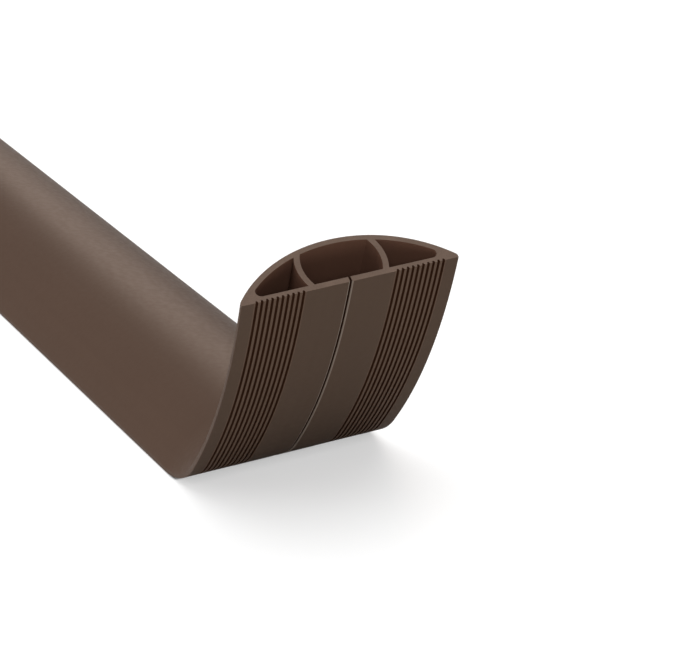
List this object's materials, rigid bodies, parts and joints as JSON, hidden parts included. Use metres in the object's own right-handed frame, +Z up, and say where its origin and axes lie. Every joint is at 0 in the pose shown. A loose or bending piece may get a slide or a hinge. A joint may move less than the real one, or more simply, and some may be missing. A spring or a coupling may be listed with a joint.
{
  "type": "floor cord cover",
  "caption": "Length of low domed cover strip in soft plastic for cords on a floor: cord channels, a slit and grip grooves underneath, one end curled up.",
  "frame": {"origin": "under the middle of the box that holds the whole cover, on the floor plane that the flat stretch rests on", "axes": "+X along the strip towards the curled end, +Y across it, +Z up from the floor"},
  "size_m": [0.9582, 0.08, 0.1082],
  "materials": {
    "soft_plastic": "matte"
  },
  "bodies": {
    "root": {"floor_cord_cover": "soft_plastic"}
  },
  "joints": []
}
